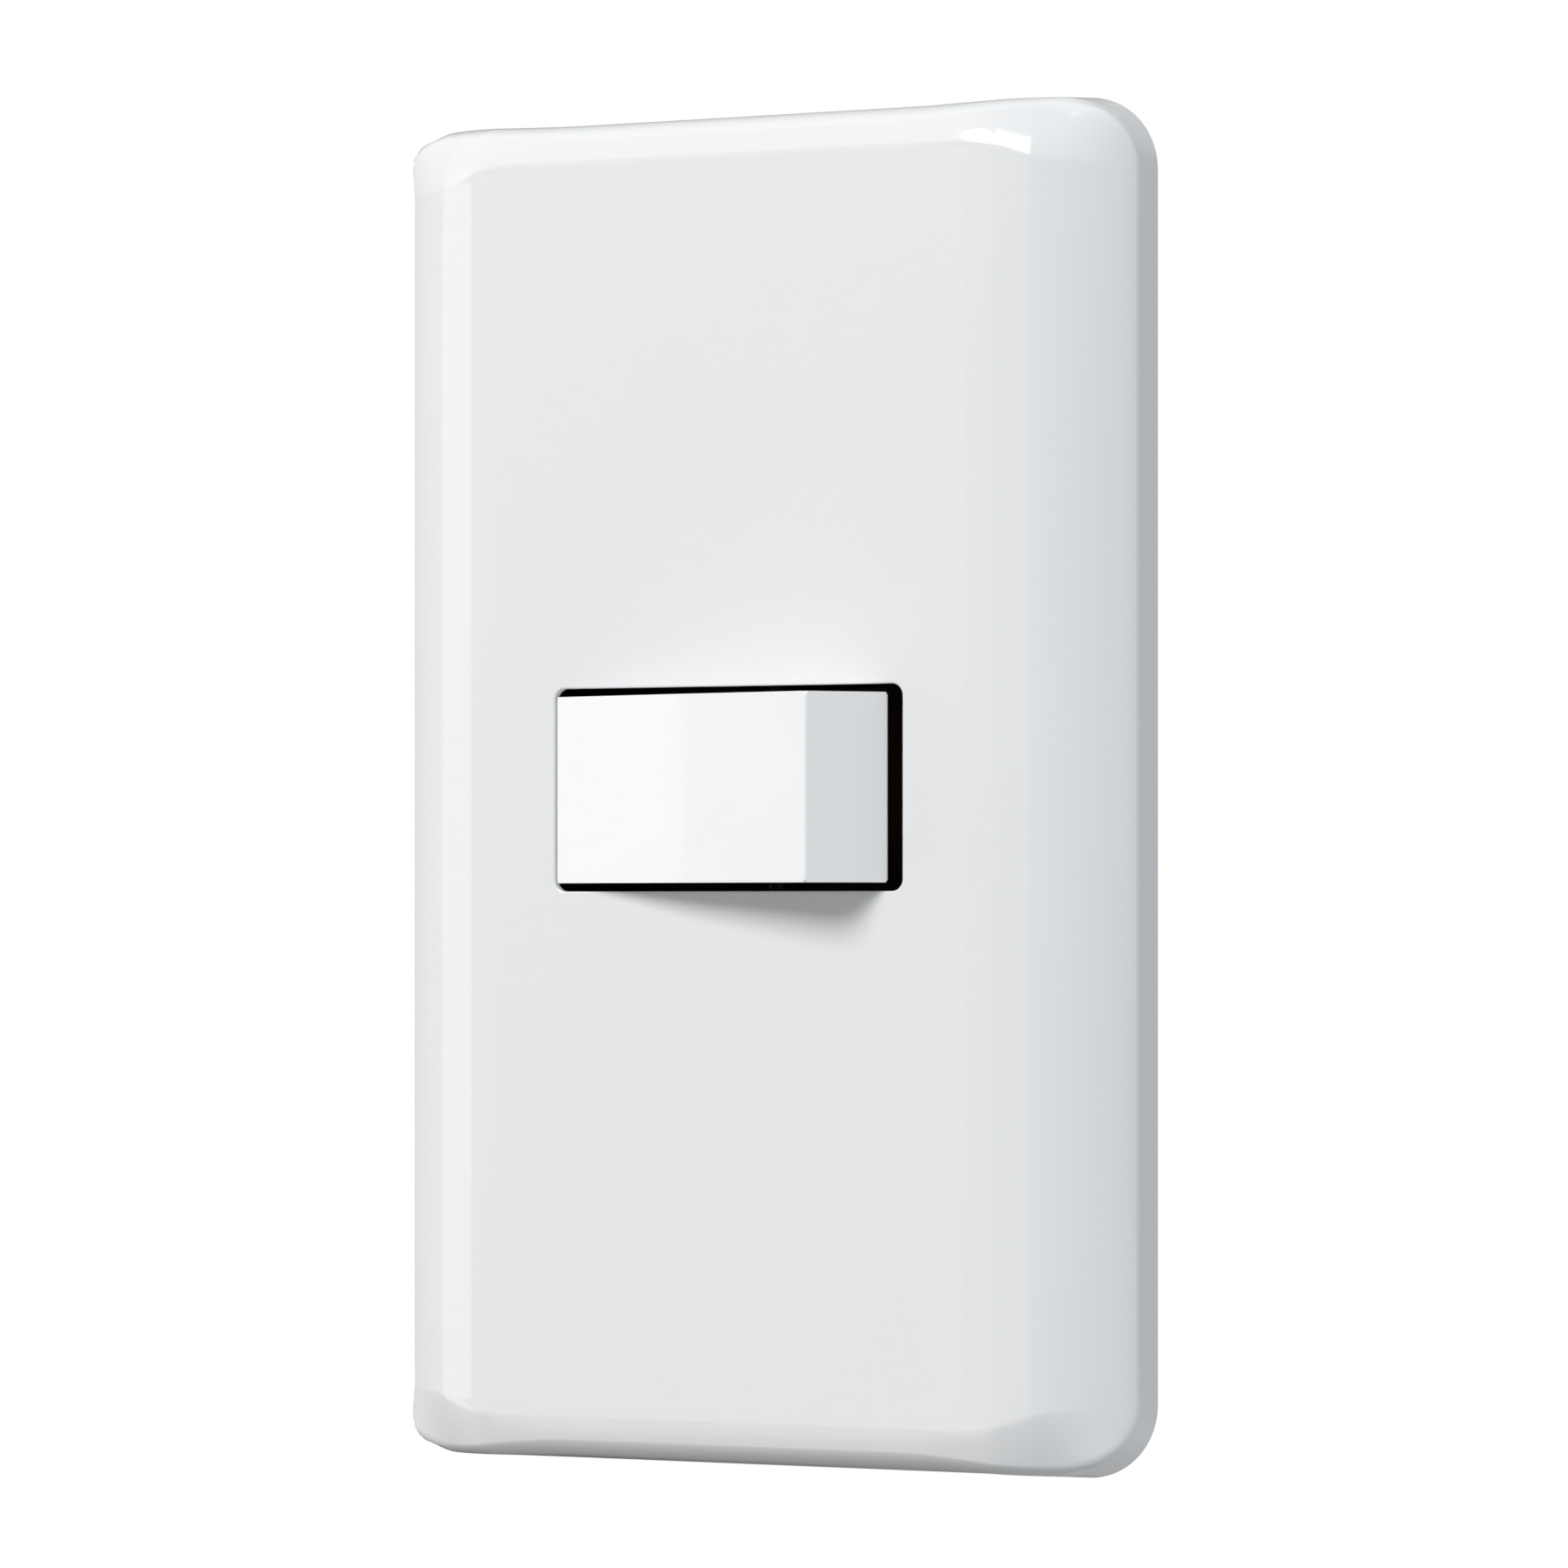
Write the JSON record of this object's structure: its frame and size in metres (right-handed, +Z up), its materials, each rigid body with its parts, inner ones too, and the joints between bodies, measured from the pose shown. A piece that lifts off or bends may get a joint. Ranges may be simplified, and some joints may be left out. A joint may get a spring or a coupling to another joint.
{
  "type": "rocker wall switch",
  "caption": "Screwless wall switch: a tall white cover plate with rounded shoulders and a small sideways rocker that tips a sprung contact blade, on a steel strap for a wall box.",
  "frame": {"origin": "middle of the cover plate on the wall's surface, which is the plane of the strap's back and of the plate's rim", "axes": "+X to the right of a person facing the switch, +Y into the wall, +Z up"},
  "size_m": [0.07, 0.0392, 0.115],
  "materials": {
    "plate_white": "glossy moulded white, cool tone",
    "key_white": "satin moulded white",
    "module_black": "fine moulded texture",
    "cover_grey": "fine moulded texture",
    "carrier_grey": "moulded",
    "plunger_ivory": "polished acetal",
    "barrier_brown": "vulcanised fibre",
    "washer_red": "vulcanised fibre",
    "zinc_steel": "zinc plated",
    "spring_steel": "drawn wire",
    "screw_steel": "bright zinc",
    "terminal_brass": "stamped",
    "blade_copper": "stamped copper alloy",
    "contact_silver": "contact silver"
  },
  "bodies": {
    "strap": {"mounting_strap": "zinc_steel", "box_screws": "screw_steel", "screw_retainers": "washer_red", "module_clips": "zinc_steel", "module_housing": "module_black", "module_bezel": "module_black", "rear_cover": "cover_grey", "housing_rivets": "terminal_brass", "pivot_pins": "screw_steel", "arc_barrier": "barrier_brown", "line_terminal": "terminal_brass", "load_terminal": "terminal_brass", "load_contact": "contact_silver", "terminal_clamps": "zinc_steel", "terminal_screws": "screw_steel"},
    "rocker": {"rocker_key": "key_white", "rocker_carrier": "carrier_grey", "plunger_spring": "spring_steel"},
    "plunger": {"plunger": "plunger_ivory"},
    "blade": {"contact_blade": "blade_copper", "moving_contact": "contact_silver"},
    "cover": {"cover_plate": "plate_white"}
  },
  "joints": [
    {"name": "rocker_tip", "type": "hinge", "parent": "strap", "child": "rocker", "pos_m": [0, -0.001, 0], "axis": [0, 0, 1], "range_deg": [0, 25.4]},
    {"name": "blade_tip", "type": "hinge", "parent": "strap", "child": "blade", "pos_m": [0, 0.011, 0], "axis": [0, 0, 1], "range_deg": [-12, 0]},
    {"name": "plunger_press", "type": "slide", "parent": "rocker", "child": "plunger", "axis": [-0.2198, -0.9755, 0], "range_m": [0, 0.0006], "stiffness_N_per_m": 300, "springref_m": -0.004, "deforming": ["plunger_spring"]},
    {"name": "cover_release", "type": "slide", "parent": "strap", "child": "cover", "axis": [0, -1, 0], "range_m": [0, 0.03]}
  ],
  "couplings": [
    {"joint": "blade_tip", "follows": "rocker_tip", "ratio": -0.47244}
  ]
}
